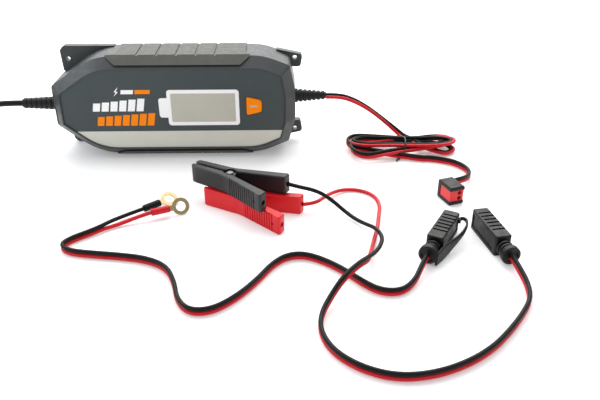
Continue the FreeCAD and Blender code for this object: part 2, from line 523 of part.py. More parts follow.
def make_mains():
    make_cord("mains_lead", MAINS_ROUTE, MAINS_D)
    rim = COIL_MIDDLE_R + COIL_HALF
    hole = COIL_MIDDLE_R - COIL_HALF
    axis = V(0, 0, 1)
    at = V(COIL_AT[0], COIL_AT[1], 0)
    coil = cylinder(rim, at, axis, COIL_TALL).cut(cylinder(hole, at - axis, axis, COIL_TALL + 2))
    coil = softened(coil, edges_at(coil, lambda p: p.z < 0.1 or p.z > COIL_TALL - 0.1), 3.0)
    near, far = COIL_AT[0] - rim - 0.6, COIL_AT[0] - hole + 0.6
    tie_y = (COIL_AT[1] - TIE_WIDE / 2, COIL_AT[1] + TIE_WIDE / 2)
    outer = box((near - TIE_THICK, far + TIE_THICK), tie_y, (0.0, COIL_TALL + 1.0))
    tie = outer.cut(box((near, far), tie_y, (TIE_THICK - 0.4, COIL_TALL + 1.0 - TIE_THICK)))
    # The lead's last stretch leaves the coil for the plug
    tail_at = V(PLUG_AT[0], PLUG_AT[1], PLUG_CORD_Z)
    coil = coil.fuse(cylinder(MAINS_D / 2, tail_at, heading(PLUG_YAW) * -1, 26.0))
    solid_coil = coil.cut(tie)
    save("mains_coil", solid_coil)
    save("coil_tie", tie.cut(solid_coil))

    # The plug lies beside the coil
    body = flat(PLUG_OUTLINE, 3.0, 0.0, PLUG_TALL)
    body = softened(body, edges_at(body, lambda p: p.z < 0.1 or p.z > PLUG_TALL - 0.1), 2.0)
    for k in range(PLUG_RINGS):
        r = 4.0 + 0.7 * k
        at_ring = V(PLUG_RING_PITCH * k, 0, PLUG_CORD_Z)
        body = body.fuse(cylinder(r, at_ring, V(1, 0, 0), 0.7 * PLUG_RING_PITCH))
        body = body.fuse(cylinder(r - 1.0, at_ring, V(1, 0, 0), 1.1 * PLUG_RING_PITCH))
    save("mains_plug", placed(body, PLUG_AT, PLUG_YAW))
    pins = []
    for side in (-1, 1):
        pin = box(PLUG_PINS_U, (-PIN_THICK / 2, PIN_THICK / 2), (-PIN_WIDE / 2, PIN_WIDE / 2))
        pin.rotate(V(PLUG_PINS_U[0], 0, 0), V(1, 0, 0), PIN_LEAN * side)
        pin.translate(V(0, PIN_SPREAD * side, PLUG_TALL / 2))
        pins.append(placed(pin, PLUG_AT, PLUG_YAW))
    save("plug_pins", *pins)


def make_output():
    make_cord("output_lead", OUTPUT_ROUTE, TWIN_D)
    hank = flat(HANK, 5.0, 0.0, HANK_TALL)
    hank = softened(hank, edges_at(hank, lambda p: p.z < 0.1 or p.z > HANK_TALL - 0.1), 2.4)
    inner = box(HANK_TIE_X, (HANK_TIE_Y[0] + 1.6, HANK_TIE_Y[1] - 1.6), (0.8, HANK_TALL - 0.2))
    tie = box(HANK_TIE_X, HANK_TIE_Y, (0.0, HANK_TALL + 0.8)).cut(inner)
    hank = hank.cut(box(HANK_TIE_X, (-60, 20), (-1, HANK_TALL + 1)).cut(inner))
    save("hank_tie", tie)
    save("output_hank", hank)
    make_cord("output_tail", TAIL_ROUTE, TWIN_D)

    half = OUTLET_WIDE / 2
    core_end = OUTLET_LONG - 0.6
    core = box((OUTLET_WRAP, core_end), (-half + 0.6, half - 0.6), OUTLET_CORE_Z)
    shell = box((0.0, OUTLET_LONG), (-half, half), (0.0, OUTLET_TALL))
    shell = softened(shell, edges_at(shell, lambda p: p.z > OUTLET_TALL - 0.1 or p.z < 0.1), 1.4)
    shell = shell.cut(box((OUTLET_WRAP, OUTLET_LONG + 1), (-half - 1, half + 1), OUTLET_CORE_Z))
    contacts = []
    for z in OUTLET_CONTACTS_Z:
        back = V(-1, 0, 0)
        core = core.cut(cylinder(CONTACT_R, V(core_end, OUTLET_CONTACT_V, z), back, 12.0))
        mouth = V(core_end - 2.0, OUTLET_CONTACT_V, z)
        tube = cylinder(CONTACT_R, mouth, back, 10.0)
        contacts.append(tube.cut(cylinder(CONTACT_HOLE_R, mouth, back, 8.0)))
    save("output_connector_shell", placed(shell, OUTLET_AT, OUTLET_YAW))
    save("output_connector_core", placed(core, OUTLET_AT, OUTLET_YAW))
    return [placed(c, OUTLET_AT, OUTLET_YAW) for c in contacts]


def lead_connector():
    """A lead's moulded connector in its own frame, and the two contacts in its mouth."""
    half = BOX_WIDE / 2
    outline = [(0, -half), (BOX_LONG, -half), (BOX_LONG, half), (0, half)]
    body = flat(outline, 2.0, 0.0, BOX_TALL)
    rear_top = edges_at(body, lambda p: p.z > BOX_TALL - 0.1 and p.x < 0.1)
    body = softened(body, rear_top, 1.2)
    rims = edges_at(body, lambda p: p.z > BOX_TALL - 0.1 or p.z < 0.1)
    body = body.makeChamfer(0.7, rims)
    for k in range(TOP_RIBS):
        x = TOP_RIB_U + TOP_RIB_PITCH * k
        body = body.cut(box((x, x + TOP_RIB_WIDE), (-half - 1, half - 1.6),
                            (BOX_TALL - TOP_RIB_DEEP, BOX_TALL + 1)))
    for side in (-1, 1):
        recess = flat([(4.0, -0.7), (BOX_LONG - 3.0, -0.7), (BOX_LONG - 3.0, 0.7), (4.0, 0.7)],
                      0.2, 3.0, BOX_TALL - 3.0)
        recess.translate(V(0, side * half, 0))
        body = body.cut(recess)
    mouth = box((BOX_LONG - 3.4, BOX_LONG + 1), (-half + 1.8, half - 1.8), (2.2, BOX_TALL - 2.2))
    body = body.cut(mouth)
    middle = BOX_TALL / 2
    neck = cylinder(4.6, V(-NECK_LONG, 0, middle), V(1, 0, 0), NECK_LONG)
    for x, r, length in ((-3.6, 6.2, 2.2), (-7.4, 6.2, 2.2), (-NECK_LONG, 7.4, 4.6)):
        ring = cylinder(r, V(x, 0, middle), V(1, 0, 0), length)
        neck = neck.fuse(ring.makeFillet(0.7, ring.Edges[0:1] + ring.Edges[2:3]))
    seat = cylinder(5.2, V(-NECK_LONG - 0.1, 0, middle), V(1, 0, 0), 1.1)
    body = body.fuse(neck.cut(seat))
    pins = []
    for z in (middle - PIN_PITCH / 2, middle + PIN_PITCH / 2):
        start = V(BOX_LONG - 12, 0, z)
        body = body.cut(cylinder(CONTACT_PIN_R, start, V(1, 0, 0), 12))
        pins.append(cylinder(CONTACT_PIN_R, start, V(1, 0, 0), 11.4))
    return body.removeSplitter(), pins


def make_lead_connectors(other_contacts):
    """Both accessory leads' connectors, and every lead contact of the set."""
    body, pins = lead_connector()
    contacts = list(other_contacts)
    for name, at, yaw in (("ring_lead_connector", RING_BOX_AT, RING_BOX_YAW),
                          ("clamp_lead_connector", CLAMP_BOX_AT, CLAMP_BOX_YAW)):
        save(name, placed(body, at, yaw))
        contacts += [placed(p, at, yaw) for p in pins]
    save("connector_contacts", *contacts)


def make_cap():
    """The rubber stopper of the ring lead's connector, on the strap that ties it to the gland."""
    half = BOX_WIDE / 2
    strap = [(u, -half - v - STRAP_THICK) for u, v in STRAP_LINE]
    strap += [(u, -half - v) for u, v in reversed(STRAP_LINE)]
    band = flat(strap, 0.3, *STRAP_Z)
    foot = flat([(-14.0, -half - 5.4), (-9.0, -half - 5.4), (-9.0, -half - 1.2),
                 (-14.0, -half - 1.2)], 0.6, *STRAP_Z)
    flange = flat([(35.4, -half - 12.0), (37.4, -half - 12.0), (37.4, -half - 1.0),
                   (35.4, -half - 1.0)], 0.6, 0.4, 15.6)
    plug = flat([(37.4, -half - 9.4), (41.6, -half - 9.4), (41.6, -half - 3.4),
                 (37.4, -half - 3.4)], 0.8, 3.4, 12.6)
    save("connector_stopper", placed(band.fuse(foot).fuse(flange).fuse(plug).removeSplitter(),
                                     RING_BOX_AT, RING_BOX_YAW))


def clamp_arm(side, lugs):
    """One arm of a clamp about the pivot, on the side of -v or +v, and its jaw."""
    seat_v = JAW_GAP + JAW_THICK
    points = [(NOSE_U - 0.6, 1.6), (NOSE_U + 3.0, seat_v), (-7.0, seat_v), (7.0, 4.0),
              (HANDLE_U, HANDLE_INNER_V), (HANDLE_U, HANDLE_V), (0.0, BACK_V),
              (NOSE_U + 6.0, NOSE_BACK_V + 0.8), (NOSE_U - 0.6, NOSE_BACK_V)]
    radii = [0.8, 1.0, 2.0, 6.0, 1.4, 2.0, 30.0, 6.0, 3.6]
    arm = flat(points, radii, 0.0, CLAMP_TALL)
    arm = arm.makeChamfer(0.8, edges_at(arm, lambda p: (p.z < 0.01 or p.z > CLAMP_TALL - 0.01)
                                        and abs(p.x) > 8.5))
    arm = arm.cut(cylinder(LUG_R + 0.4, V(0, 0, -1), V(0, 0, 1), CLAMP_TALL + 2))
    slope = math.atan2(HANDLE_V - BACK_V, HANDLE_U)
    for k in range(GRIP_RIBS):
        u = GRIP_RIB_U + GRIP_RIB_PITCH * k
        groove = box((-0.45, 0.45), (-0.7, 2.0), (-1, CLAMP_TALL + 1))
        groove.rotate(V(0, 0, 0), V(0, 0, 1), math.degrees(slope))
        groove.translate(V(u, BACK_V + math.tan(slope) * u, 0))
        arm = arm.cut(groove)
    end = V(HANDLE_U + 0.1, (HANDLE_INNER_V + HANDLE_V) / 2, CLAMP_TALL / 2)
    arm = arm.cut(cylinder(CORD_HOLE_R, end, V(-1, 0, 0), CORD_HOLE_DEEP))
    for z0, z1 in lugs:
        tongue = cylinder(LUG_R, V(0, 0, z0), V(0, 0, 1), z1 - z0)
        web = box((-3.4, 3.4), (0.0, 6.4), (z0, z1))
        arm = arm.fuse(tongue.fuse(web))
    arm = arm.cut(cylinder(PIN_R + 0.06, V(0, 0, -1), V(0, 0, 1), CLAMP_TALL + 2))
    jaw = box((NOSE_U + 3.6, -8.0), (JAW_GAP, seat_v), (2.5, CLAMP_TALL - 2.5))
    for k in range(JAW_TEETH):
        u = NOSE_U + 5.0 + TOOTH_PITCH * k
        jaw = jaw.cut(box((u, u + 0.8), (0.0, 0.6), (0, CLAMP_TALL)))
    if side < 0:
        arm = arm.mirror(V(0, 0, 0), V(0, 1, 0))
        jaw = jaw.mirror(V(0, 0, 0), V(0, 1, 0))
    return arm, jaw


def make_clamps():
    """Two clamps on their sides, the black one lying across the red one."""
    fixed_jaws, springs, pins = [], [], []
    front_arm, front_jaw = clamp_arm(-1, ((2.0, 4.4), (11.6, 14.0)))
    back_arm, back_jaw = clamp_arm(1, ((4.6, 6.6), (9.4, 11.4)))
    pin = cylinder(PIN_R, V(0, 0, 0.5), V(0, 0, 1), CLAMP_TALL - 1)
    for z in (0.5, CLAMP_TALL - 1.5):
        pin = pin.fuse(cylinder(2.6, V(0, 0, z), V(0, 0, 1), 1.0))
    coils = [Part.makeTorus(2.6, 0.45, V(0, 0, 7.2 + 0.82 * k)) for k in range(3)]
    for name, pivot, yaw, z in (("black", BLACK_PIVOT, BLACK_YAW, BLACK_Z),
                                ("red", RED_PIVOT, RED_YAW, RED_Z)):
        save(name + "_clamp_front_arm", placed(front_arm, pivot, yaw, z))
        save(name + "_clamp_front_jaw", placed(front_jaw, pivot, yaw, z))
        save(name + "_clamp_back_arm", placed(back_arm, pivot, yaw, z))
        fixed_jaws.append(placed(back_jaw, pivot, yaw, z))
        pins.append(placed(pin, pivot, yaw, z))
        springs += [placed(c, pivot, yaw, z) for c in coils]
    save("clamp_back_jaws", *fixed_jaws)
    save("clamp_pins", *pins)
    save("clamp_springs", *springs)


def make_lugs():
    lugs = []
    axis = V(0, 0, 1)
    for name, (at, yaw, roll) in zip(("black", "red"), LUGS):
        ring = cylinder(LUG_OUTER_R, V(0, 0, -LUG_THICK / 2), axis, LUG_THICK)
        neck = box((-12.0, -5.0), (-NECK_HALF, NECK_HALF), (-LUG_THICK / 2, LUG_THICK / 2))
        barrel = cylinder(BARREL_R, V(-20.0, 0, 0), V(1, 0, 0), 9.0)
        lug = ring.fuse(neck).fuse(barrel)
        lug = lug.cut(cylinder(LUG_HOLE_R, V(0, 0, -2), axis, 4)).removeSplitter()
        sleeve = cylinder(SLEEVE_R, V(SLEEVE_U[0], 0, 0), V(1, 0, 0), SLEEVE_U[1] - SLEEVE_U[0])
        sleeve = sleeve.makeFillet(0.6, sleeve.Edges[0:1] + sleeve.Edges[2:3]).cut(lug)
        for shape in (lug, sleeve):
            shape.rotate(V(0, 0, 0), V(1, 0, 0), roll)
            shape.rotate(V(0, 0, 0), axis, yaw)
            shape.translate(at)
        lugs.append(lug)
        save(name + "_lug_sleeve", sleeve)
    save("ring_lugs", *lugs)


def make_leads():
    make_cord("ring_lead_cord", RING_ROUTE, TWIN_D)
    make_cord("clamp_lead_cord", CLAMP_ROUTE, TWIN_D)
    for name, route in CORE_ROUTES.items():
        make_cord(name, route, CORE_D)


make_housing()
make_grips()
make_front()
make_electronics()
make_reliefs()
make_mains()
make_lead_connectors(make_output())
make_cap()
make_clamps()
make_lugs()
make_leads()
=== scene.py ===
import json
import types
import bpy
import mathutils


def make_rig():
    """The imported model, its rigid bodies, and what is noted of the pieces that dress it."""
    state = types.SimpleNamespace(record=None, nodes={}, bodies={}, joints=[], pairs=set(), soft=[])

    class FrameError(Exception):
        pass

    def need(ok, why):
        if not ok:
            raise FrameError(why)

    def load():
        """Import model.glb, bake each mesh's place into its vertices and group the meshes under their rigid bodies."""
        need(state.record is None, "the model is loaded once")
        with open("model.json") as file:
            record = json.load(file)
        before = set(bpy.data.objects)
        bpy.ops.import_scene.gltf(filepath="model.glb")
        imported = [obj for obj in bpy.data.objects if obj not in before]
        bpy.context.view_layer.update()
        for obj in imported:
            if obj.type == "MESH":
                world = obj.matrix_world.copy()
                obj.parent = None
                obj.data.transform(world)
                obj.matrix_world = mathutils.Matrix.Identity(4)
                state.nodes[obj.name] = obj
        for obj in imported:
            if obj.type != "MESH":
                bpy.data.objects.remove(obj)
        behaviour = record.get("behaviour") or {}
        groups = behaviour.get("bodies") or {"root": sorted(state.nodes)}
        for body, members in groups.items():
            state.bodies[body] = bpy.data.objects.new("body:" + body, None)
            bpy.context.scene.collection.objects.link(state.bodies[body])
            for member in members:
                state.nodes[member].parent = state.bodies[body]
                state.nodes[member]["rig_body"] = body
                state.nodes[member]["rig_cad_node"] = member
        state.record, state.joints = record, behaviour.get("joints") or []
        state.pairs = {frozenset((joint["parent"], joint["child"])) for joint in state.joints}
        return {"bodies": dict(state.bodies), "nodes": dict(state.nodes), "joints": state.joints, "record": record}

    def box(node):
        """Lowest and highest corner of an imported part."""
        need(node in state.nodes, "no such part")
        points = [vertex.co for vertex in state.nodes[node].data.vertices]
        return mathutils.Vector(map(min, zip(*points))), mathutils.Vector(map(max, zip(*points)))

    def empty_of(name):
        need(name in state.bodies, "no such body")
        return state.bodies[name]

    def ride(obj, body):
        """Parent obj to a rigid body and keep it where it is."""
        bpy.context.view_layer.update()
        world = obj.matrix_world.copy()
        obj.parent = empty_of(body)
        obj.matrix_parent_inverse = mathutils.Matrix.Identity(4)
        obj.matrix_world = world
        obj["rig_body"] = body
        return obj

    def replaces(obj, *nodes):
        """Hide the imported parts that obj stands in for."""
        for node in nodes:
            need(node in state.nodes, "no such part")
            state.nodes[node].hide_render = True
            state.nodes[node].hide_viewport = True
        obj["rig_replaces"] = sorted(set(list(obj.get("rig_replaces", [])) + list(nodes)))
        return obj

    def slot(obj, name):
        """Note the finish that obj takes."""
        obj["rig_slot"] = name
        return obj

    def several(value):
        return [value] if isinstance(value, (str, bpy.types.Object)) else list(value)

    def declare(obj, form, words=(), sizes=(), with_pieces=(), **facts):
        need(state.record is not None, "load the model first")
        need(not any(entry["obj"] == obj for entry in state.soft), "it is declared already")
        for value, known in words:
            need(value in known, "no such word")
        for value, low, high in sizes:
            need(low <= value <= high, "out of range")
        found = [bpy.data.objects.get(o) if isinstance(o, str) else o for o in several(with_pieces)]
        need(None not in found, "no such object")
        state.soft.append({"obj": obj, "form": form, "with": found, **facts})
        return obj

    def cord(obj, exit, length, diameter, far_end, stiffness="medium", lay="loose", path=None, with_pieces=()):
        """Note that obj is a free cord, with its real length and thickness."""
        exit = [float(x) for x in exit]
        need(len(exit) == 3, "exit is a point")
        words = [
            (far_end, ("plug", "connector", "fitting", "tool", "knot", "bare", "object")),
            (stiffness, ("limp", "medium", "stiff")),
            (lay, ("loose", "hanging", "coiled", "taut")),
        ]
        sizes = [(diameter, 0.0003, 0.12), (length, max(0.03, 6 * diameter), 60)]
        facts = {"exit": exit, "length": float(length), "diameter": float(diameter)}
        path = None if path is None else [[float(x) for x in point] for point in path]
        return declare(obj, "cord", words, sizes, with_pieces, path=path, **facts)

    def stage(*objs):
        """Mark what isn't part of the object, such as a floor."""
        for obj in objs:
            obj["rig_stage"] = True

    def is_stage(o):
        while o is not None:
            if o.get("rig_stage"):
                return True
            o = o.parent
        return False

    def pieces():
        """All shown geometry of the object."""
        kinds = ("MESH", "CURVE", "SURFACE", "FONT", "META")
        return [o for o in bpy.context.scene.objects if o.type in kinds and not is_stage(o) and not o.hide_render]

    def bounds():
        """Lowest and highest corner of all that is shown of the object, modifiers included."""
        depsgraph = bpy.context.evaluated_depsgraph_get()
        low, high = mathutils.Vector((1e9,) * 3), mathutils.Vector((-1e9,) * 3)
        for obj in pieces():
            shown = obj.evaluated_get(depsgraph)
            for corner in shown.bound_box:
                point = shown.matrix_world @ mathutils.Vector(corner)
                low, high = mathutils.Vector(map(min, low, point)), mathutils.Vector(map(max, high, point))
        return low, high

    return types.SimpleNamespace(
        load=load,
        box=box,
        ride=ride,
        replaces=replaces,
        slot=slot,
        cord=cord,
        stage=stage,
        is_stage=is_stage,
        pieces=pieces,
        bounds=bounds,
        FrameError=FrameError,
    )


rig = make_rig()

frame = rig.load()

import json
import math

import bmesh
import bpy
from mathutils import Matrix, Vector

# Twelve-volt battery charger, standing on its lower grip, with its mains lead, its output lead and
# two accessory leads. The CAD frame gives every place; this script adds the finish, the free cords
# and the moulded detail. Metres, in the frame's axes: +X along the housing, +Y from its front
# panel to its back, +Z up.

cad_low, cad_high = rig.bounds()
UP = Vector((0, 0, 1))
MM = 0.001


# ---------------------------------------------------------------- camera

CAMERA_AT = (0.1059, -0.6246, 0.2853)
CAMERA_TILT, CAMERA_TURN = math.radians(61.08), math.radians(-1.17)
CAMERA_LENS, CAMERA_SENSOR = 40.78, 36.0        # millimetres
CAMERA_CLIP = (0.02, 20.0)


def make_camera():
    camera = bpy.data.objects.new("camera", bpy.data.cameras.new("camera"))
    camera.data.lens, camera.data.sensor_width = CAMERA_LENS, CAMERA_SENSOR
    camera.data.clip_start, camera.data.clip_end = CAMERA_CLIP
    camera.location = CAMERA_AT
    camera.rotation_euler = (CAMERA_TILT, 0, CAMERA_TURN)
    bpy.context.scene.collection.objects.link(camera)
    bpy.context.scene.camera = camera


# ---------------------------------------------------------------- free cords

MAINS_D, STRAND_D = 5.6 * MM, 3.3 * MM
BESIDE = STRAND_D / 2               # from the middle of a twin lead to the middle of each strand

MAINS_ROUTE = (
    (-0.1486, 0, 0.05), (-0.165, 0, 0.05), (-0.183, 0.003, 0.047), (-0.2, 0.009, 0.038),
    (-0.213, 0.017, 0.025), (-0.221, 0.028, 0.0135), (-0.227, 0.041, 0.0075),
    (-0.2335, 0.052, 0.006), (-0.2386, 0.0589, 0.006),
)
MAINS_TO_COIL = ((-0.2270, 0.054, 0.0035), (-0.2262, 0.073, 0.0028))
COIL_TO_PLUG = ((-0.2835, 0.0571, 0.0105), (-0.2755, 0.0491, 0.009), (-0.2709, 0.0445, 0.009))
OUTPUT_ROUTE = (
    (0.1438, 0, 0.056), (0.157, 0.0005, 0.056), (0.171, 0.003, 0.0505), (0.184, 0.008, 0.0415),
    (0.196, 0.014, 0.031), (0.207, 0.0185, 0.0205), (0.217, 0.0185, 0.012),
    (0.2235, 0.0125, 0.0076), (0.225, 0.0042, 0.0076),
)
OUTPUT_TO_HANK = ((0.2290, 0.0020, 0.0092), (0.2385, -0.0115, 0.0072))
TAIL_ROUTE = (
    (0.233, -0.0342, 0.0035), (0.243, -0.0344, 0.0037), (0.254, -0.038, 0.0035),
    (0.2645, -0.0445, 0.0038), (0.272, -0.054, 0.0035), (0.274, -0.066, 0.0039),
    (0.27, -0.0775, 0.005), (0.262, -0.0865, 0.0072), (0.2525, -0.093, 0.0085),
    (0.2466, -0.0984, 0.0085),
)
RING_ROUTE = (
    (0.2076, -0.2102, 0.0085), (0.201, -0.2225, 0.0064), (0.195, -0.235, 0.0039),
    (0.1845, -0.2465, 0.0034), (0.171, -0.247, 0.0036), (0.16, -0.238, 0.0034),
    (0.148, -0.223, 0.0036), (0.1335, -0.2085, 0.0034), (0.118, -0.1995, 0.0036),
    (0.1045, -0.201, 0.0034), (0.0935, -0.213, 0.0036), (0.084, -0.231, 0.0034),
    (0.071, -0.2505, 0.0036), (0.055, -0.265, 0.0034), (0.0395, -0.266, 0.0036),
    (0.03, -0.253, 0.0034), (0.026, -0.2345, 0.0036), (0.0175, -0.214, 0.0034),
    (0.001, -0.2035, 0.0036), (-0.02, -0.1985, 0.0034), (-0.043, -0.1955, 0.0036),
    (-0.0605, -0.1915, 0.0034), (-0.068, -0.1835, 0.0036), (-0.0625, -0.174, 0.0034),
    (-0.0515, -0.1655, 0.0036), (-0.043, -0.1585, 0.0041),
)
CLAMP_ROUTE = (
    (0.2695, -0.2126, 0.0085), (0.2715, -0.226, 0.0062), (0.273, -0.2405, 0.0039),
    (0.27, -0.257, 0.0034), (0.259, -0.274, 0.0036), (0.246, -0.29, 0.0034),
    (0.231, -0.306, 0.0036), (0.212, -0.319, 0.0034), (0.19, -0.328, 0.0036),
    (0.168, -0.3295, 0.0034),
    (0.148, -0.3215, 0.0036), (0.133, -0.307, 0.0034), (0.126, -0.29, 0.0036),
    (0.1265, -0.2725, 0.0034), (0.1335, -0.2565, 0.006), (0.144, -0.243, 0.0138),
    (0.156, -0.2275, 0.0138), (0.163, -0.217, 0.0105),
)
CLAMP_LEAD_BLACK_CORE = (
    (0.1634, -0.2165, 0.0122), (0.1695, -0.207, 0.0096), (0.1755, -0.1955, 0.0086),
    (0.1785, -0.1825, 0.0085), (0.1745, -0.169, 0.008), (0.1675, -0.157, 0.0046),
    (0.1605, -0.146, 0.0029), (0.1525, -0.1365, 0.005), (0.1435, -0.1305, 0.011),
    (0.134, -0.1288, 0.0175), (0.125, -0.1306, 0.0223), (0.116, -0.1306, 0.0244),
    (0.107, -0.1252, 0.0244),
)
CLAMP_LEAD_RED_CORE = (
    (0.1634, -0.2165, 0.0088), (0.166, -0.206, 0.006), (0.1688, -0.1935, 0.0029),
    (0.1725, -0.1785, 0.0018), (0.1775, -0.16, 0.0017), (0.181, -0.14, 0.0018),
    (0.1845, -0.1205, 0.0017), (0.181, -0.1035, 0.0018), (0.1685, -0.0935, 0.0017),
    (0.1535, -0.094, 0.0022), (0.1425, -0.1045, 0.004), (0.1355, -0.1185, 0.007),
    (0.128, -0.129, 0.0082), (0.1188, -0.1303, 0.008),
)
RING_LEAD_BLACK_CORE = (
    (-0.0426, -0.1581, 0.0058), (-0.0375, -0.1512, 0.0056), (-0.0335, -0.1425, 0.0034),
    (-0.0245, -0.135, 0.0036), (-0.0147, -0.1291, 0.0046),
)
RING_LEAD_RED_CORE = (
    (-0.0426, -0.1581, 0.0024), (-0.0355, -0.1532, 0.0023), (-0.027, -0.1482, 0.0029),
    (-0.017, -0.1434, 0.005), (-0.0067, -0.1394, 0.0067),
)

COIL_AT = Vector((-0.264, 0.091, 0))
# Radius and height of each turn of the coil, in millimetres
COIL_TURNS = ((37.8, 2.8), (32.0, 2.8), (26.2, 2.8), (26.2, 8.6), (32.0, 8.6), (37.8, 8.6),
              (32.0, 14.4), (37.8, 14.4), (37.8, 12.0))
COIL_LONG, COIL_STEPS = 7.6, 16     # turns, and points on each
COIL_SHIFT = 0.7                    # share of a turn after which the lead moves to the next one

HANK_TIE_X, HANK_TIE_Y = 0.2185, -0.014
# One row a turn, in millimetres: left end and its half width, right end and its half width, half
# width at the tie, and the height at the left end, at the tie and at the right end
HANK_TURNS = (
    (164, 3, 12, 270, -13, 9, 9, 12.0, 5.5, 4.0),
    (171, -27, 17, 270, 0, 10, 8, 4.6, 11.5, 9.0),
    (178, -12, 9, 264, 5, 8, 6, 4.5, 6.5, 5.0),
    (165, 1, 13, 271, -6, 12, 6, 13.5, 15.0, 12.5),
    (166, -6, 15, 271, -9, 13, 12, 5.0, 4.0, 4.0),
)
# How far the twin lead is twisted at each end it comes to, right and left in turn, in degrees
HANK_TWIST = (-60, -100, 20, -125, -140, 40, -60, -110, 0, 0)
OUTPUT_TWIST = -62                  # and on its way down to the hank
HANK_LONG, HANK_STEPS = 3.75, 16    # turns, and points on each
HANK_START = math.radians(-50)      # where on its first turn the lead comes in
HANK_ROUND = 0.5                    # below 1, the ends are rounder than an ellipse's
HANK_SPREAD, HANK_FAN = 1.25, 1.3   # how wide the ends are, and how soon the turns fan out


def coil_points():
    """The turns of the mains lead's coil, layer by layer, up to where it leaves for the plug."""
    points = []
    for step in range(int(COIL_LONG * COIL_STEPS) + 1):
        turn, share = divmod(step / COIL_STEPS, 1.0)
        (r0, z0), (r1, z1) = COIL_TURNS[int(turn)], COIL_TURNS[int(turn) + 1]
        ease = max(0.0, share - COIL_SHIFT) / (1 - COIL_SHIFT)
        r = (r0 + (r1 - r0) * ease) / math.cos(math.pi / COIL_STEPS) * MM
        a = math.tau * share
        points.append(COIL_AT + Vector((r * math.cos(a), r * math.sin(a),
                                        (z0 + (z1 - z0) * ease) * MM)))
    return points


def hank_points():
    """The hank's turns, which fan out at both ends of its tie, and the twist at each point."""
    points = []
    for step in range(int(HANK_LONG * HANK_STEPS) + 1):
        turn, share = divmod(step / HANK_STEPS, 1.0)
        now, after = HANK_TURNS[int(turn)], HANK_TURNS[int(turn) + 1]
        row = [a + (b - a) * share for a, b in zip(now, after)]
        *ends, tie_wide, left_z, tie_z, right_z = row
        angle = math.tau * share + HANK_START
        along, across = math.cos(angle), math.sin(angle)
        end_x, end_y, end_wide = ends[3:] if along > 0 else ends[:3]
        end_z = right_z if along > 0 else left_z
        out = abs(along) ** HANK_ROUND
        x = HANK_TIE_X + (end_x * MM - HANK_TIE_X) * out
        y = HANK_TIE_Y + (end_y * MM - HANK_TIE_Y) * out
        z = (tie_z + (end_z - tie_z) * out) * MM
        wide = tie_wide + (end_wide * HANK_SPREAD - tie_wide) * min(1.0, HANK_FAN * out)
        half, rest = divmod(1 + 2 * step / HANK_STEPS + HANK_START / math.pi, 1.0)
        twist = HANK_TWIST[int(half)] * (1 - rest) + HANK_TWIST[int(half) + 1] * rest
        points.append((x, y + wide * MM * across, z, twist))
    return points


def beside(route, side):
    """A route moved half a strand to one side, square to its own run: upwards, or as far round as
    its fourth number says, in degrees."""
    twists = [math.radians(p[3]) if len(p) > 3 else 0.0 for p in route]
    route = [Vector(p[:3]) for p in route]
    out = []
    for i, (p, twist) in enumerate(zip(route, twists)):
        run = (route[min(i + 1, len(route) - 1)] - route[max(i - 1, 0)]).normalized()
        up = (UP - run * run.z).normalized()
        way = up * math.cos(twist) + run.cross(up) * math.sin(twist)
        out.append(p + way * side - UP * BESIDE * (1 - abs(math.cos(twist))))
    return out


def link(name, data):
    piece = bpy.data.objects.new(name, data)
    bpy.context.scene.collection.objects.link(piece)
    return piece


def tube(name, points, diameter, finish, nodes, along=8, round_it=5):
    """A round tube in the place of some CAD nodes, on one smooth curve drawn by control points,
    and the points of that curve. along and round_it say how finely it is divided."""
    curve = bpy.data.curves.new(name + "_line", "CURVE")
    curve.dimensions = "3D"
    spline = curve.splines.new("NURBS")
    spline.points.add(len(points) - 1)
    for knot, p in zip(spline.points, points):
        knot.co = (*p, 1.0)
    spline.order_u, spline.use_endpoint_u, spline.resolution_u = 3, True, along
    line = bpy.data.objects.new(name + "_line", curve)
    path = [tuple(v.co) for v in bpy.data.meshes.new_from_object(line).vertices]
    curve.bevel_depth, curve.bevel_resolution, curve.use_fill_caps = diameter / 2, round_it, True
    mesh = bpy.data.meshes.new_from_object(line)
    bpy.data.objects.remove(line)
    mesh.shade_smooth()
    piece = link(name, mesh)
    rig.ride(piece, "charger")
    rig.replaces(piece, *nodes)
    return give(piece, finish), path


def make_mains():
    route = [*MAINS_ROUTE[:-2], *MAINS_TO_COIL, *coil_points(), *COIL_TO_PLUG]
    mains, path = tube("mains_cable", route, MAINS_D, "black_cable", ["mains_lead", "mains_coil"])
    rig.cord(mains, exit=MAINS_ROUTE[0], length=1.76, diameter=MAINS_D, far_end="plug", path=path,
            stiffness="medium", lay="coiled", with_pieces=["mains_plug", "plug_pins", "coil_tie"])


def make_output():
    """The twin lead from the charger through its hank to its connector, as two strands."""
    route = [(*p, OUTPUT_TWIST) for p in (*OUTPUT_ROUTE[:-1], *OUTPUT_TO_HANK)]
    route += [*hank_points(), *TAIL_ROUTE]
    for colour, side, nodes in (("black", BESIDE, ["output_lead", "output_hank"]),
                                ("red", -BESIDE, ["output_tail"])):
        strand, path = tube("output_%s_strand" % colour, beside(route, side), STRAND_D,
                            colour + "_cable", nodes)
        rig.cord(strand, exit=OUTPUT_ROUTE[0], length=1.1, diameter=STRAND_D, far_end="connector",
                path=path, stiffness="limp", lay="coiled",
                with_pieces=["output_connector_shell", "output_connector_core"])


